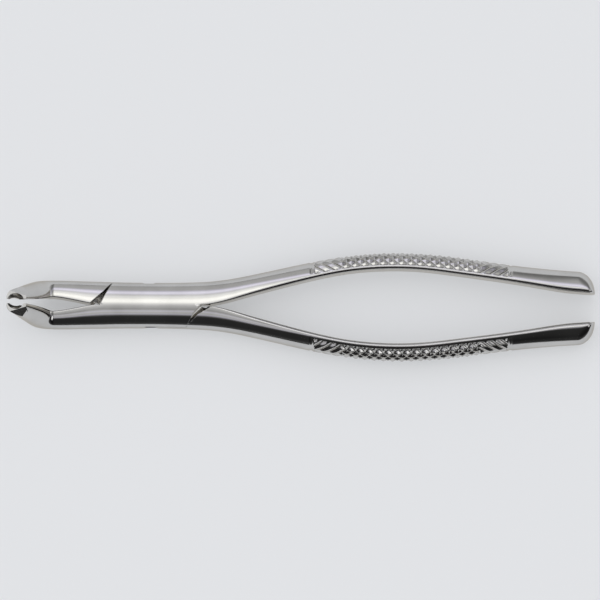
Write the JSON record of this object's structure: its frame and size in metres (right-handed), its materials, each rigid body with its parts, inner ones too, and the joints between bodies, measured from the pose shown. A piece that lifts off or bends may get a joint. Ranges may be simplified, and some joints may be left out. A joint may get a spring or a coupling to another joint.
{
  "type": "dental extraction forceps",
  "caption": "Stainless steel extraction forceps with upturned gouged beaks, a flush box-lock joint and two bowed handles with knurled grips.",
  "frame": {"origin": "centre of the bounding box in plan, at the height of the table that the handles and joint lie on", "axes": "+X from the beaks to the handle ends, +Y the side that the box half's handle opens toward, +Z along the joint pin, the way the beaks turn up"},
  "size_m": [0.176, 0.0328, 0.0197],
  "materials": {
    "box_half_steel": "mirror-polished stainless steel with a knurled grip",
    "tongue_half_steel": "mirror-polished stainless steel with a knurled grip",
    "pin_steel": "polished stainless steel, ground flush with the box"
  },
  "bodies": {
    "box_side": {"box_half": "box_half_steel", "joint_pin": "pin_steel"},
    "tongue_side": {"tongue_half": "tongue_half_steel"}
  },
  "joints": [
    {"name": "box_lock", "type": "hinge", "parent": "box_side", "child": "tongue_side", "pos_m": [-0.04528, 0, 0.005], "axis": [0, 0, -1], "range_deg": [-0.8, 24]}
  ]
}
